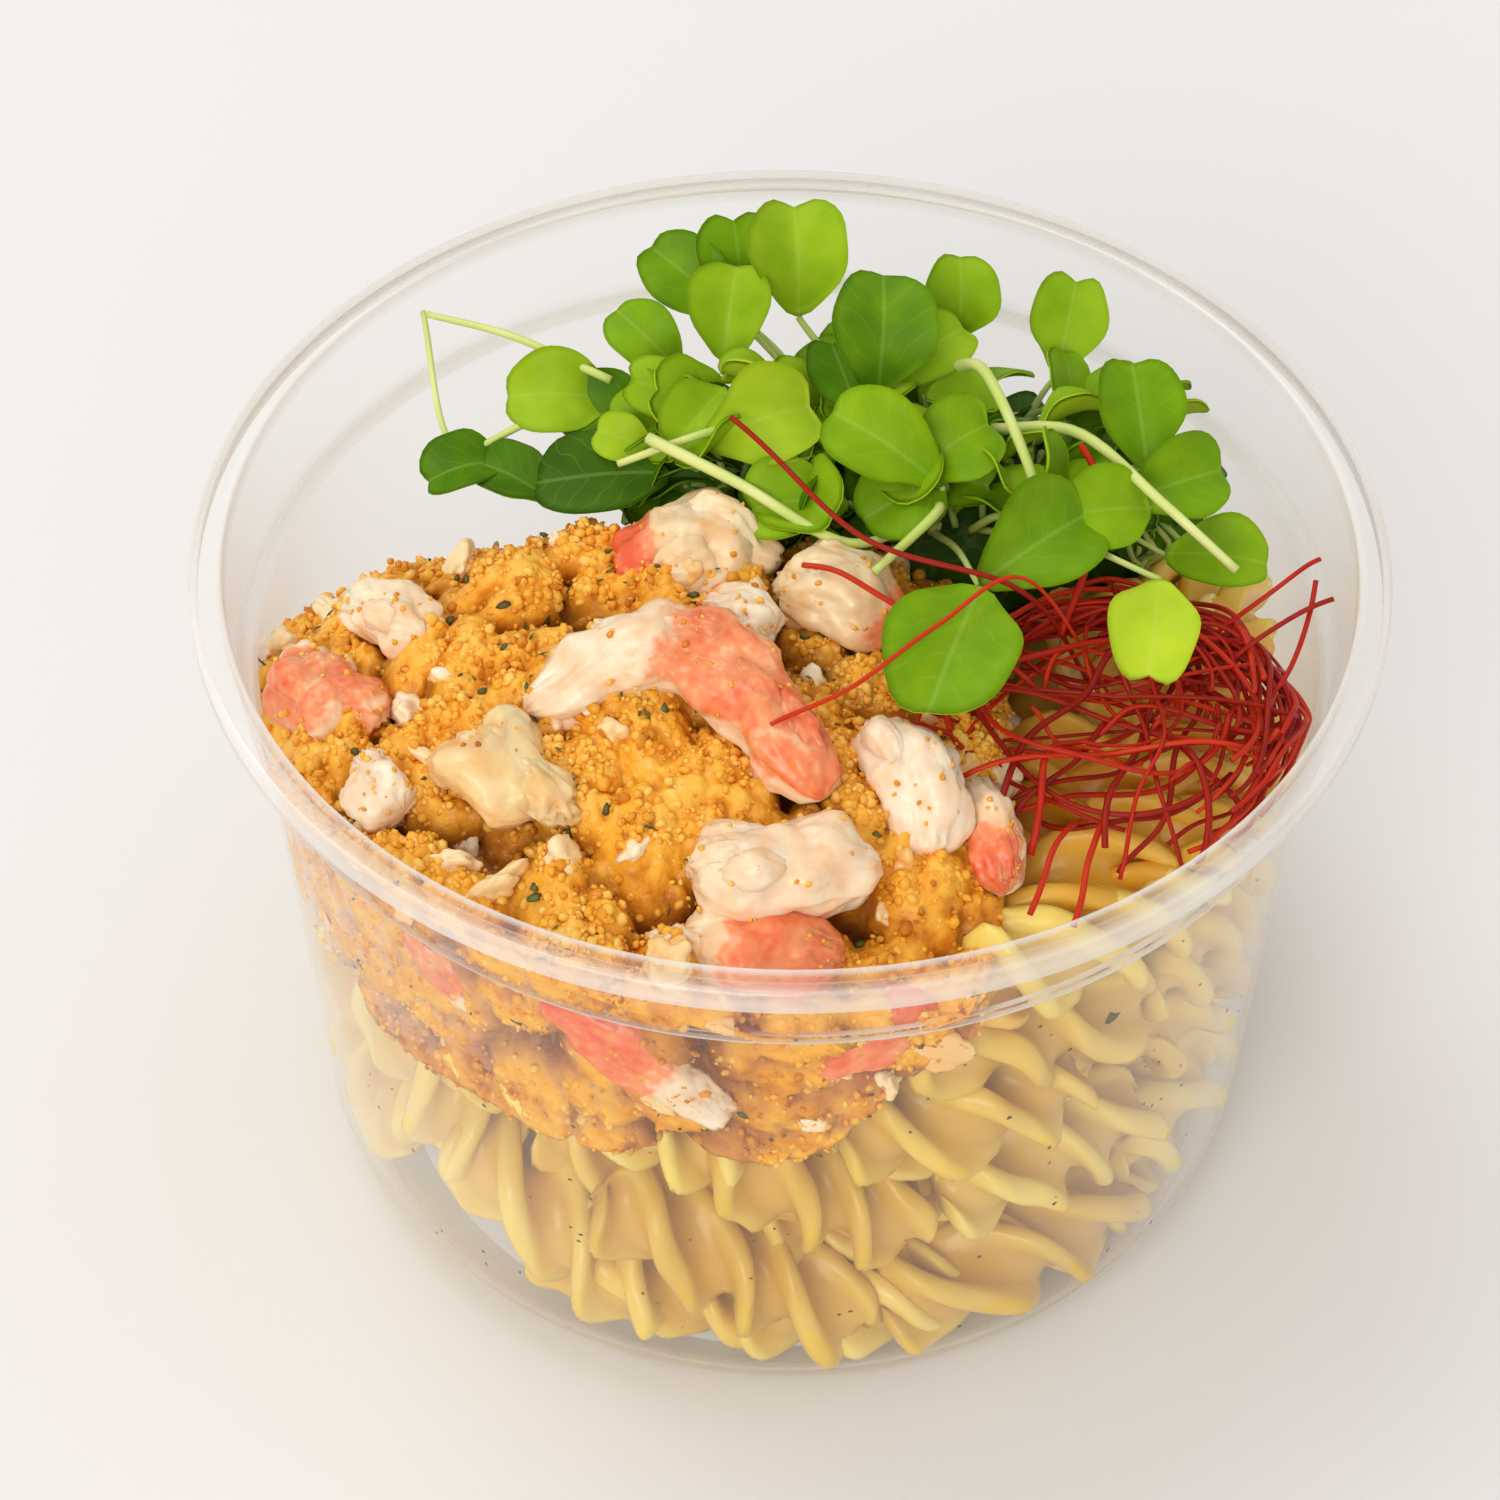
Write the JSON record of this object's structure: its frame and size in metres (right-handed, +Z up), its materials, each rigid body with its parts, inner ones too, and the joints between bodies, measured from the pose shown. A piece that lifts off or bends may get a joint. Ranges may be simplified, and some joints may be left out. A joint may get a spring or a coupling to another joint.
{
  "type": "cup of prawn pasta salad",
  "caption": "Clear round plastic deli cup filled with twisted pasta under a prawn and crumb mix, with microgreens and a nest of fine chili threads on top.",
  "frame": {"origin": "centre of the cup's flat base, on the surface it stands on", "axes": "+Z up, -Y the front that the picture looks at from above, +X to the right with the chili threads"},
  "size_m": [0.117, 0.117, 0.0902],
  "materials": {
    "clear_plastic": "clear, slightly hazy thin plastic",
    "pasta": "cooked pasta, moist, with an oily gloss on top",
    "crumb": "golden grainy crumb with bits of prawn, garlic and herbs",
    "prawn": "cooked prawn, white meat with pink and red skin, moist",
    "leaf": "fresh green leaf, satin",
    "chili": "dried red chili thread, satin"
  },
  "bodies": {
    "root": {"cup": "clear_plastic", "pasta": "pasta", "prawn_crumb_mix": "crumb", "prawn_1": "prawn", "prawn_2": "prawn", "prawn_3": "prawn", "prawn_4": "prawn", "prawn_5": "prawn", "prawn_6": "prawn", "prawn_7": "prawn", "prawn_8": "prawn", "prawn_9": "prawn", "prawn_10": "prawn", "prawn_11": "prawn", "prawn_12": "prawn", "prawn_13": "prawn", "prawn_14": "prawn", "prawn_15": "prawn", "microgreens": "leaf", "leaf_front": "leaf", "leaf_dark": "leaf", "chili_nest": "chili"}
  },
  "joints": []
}
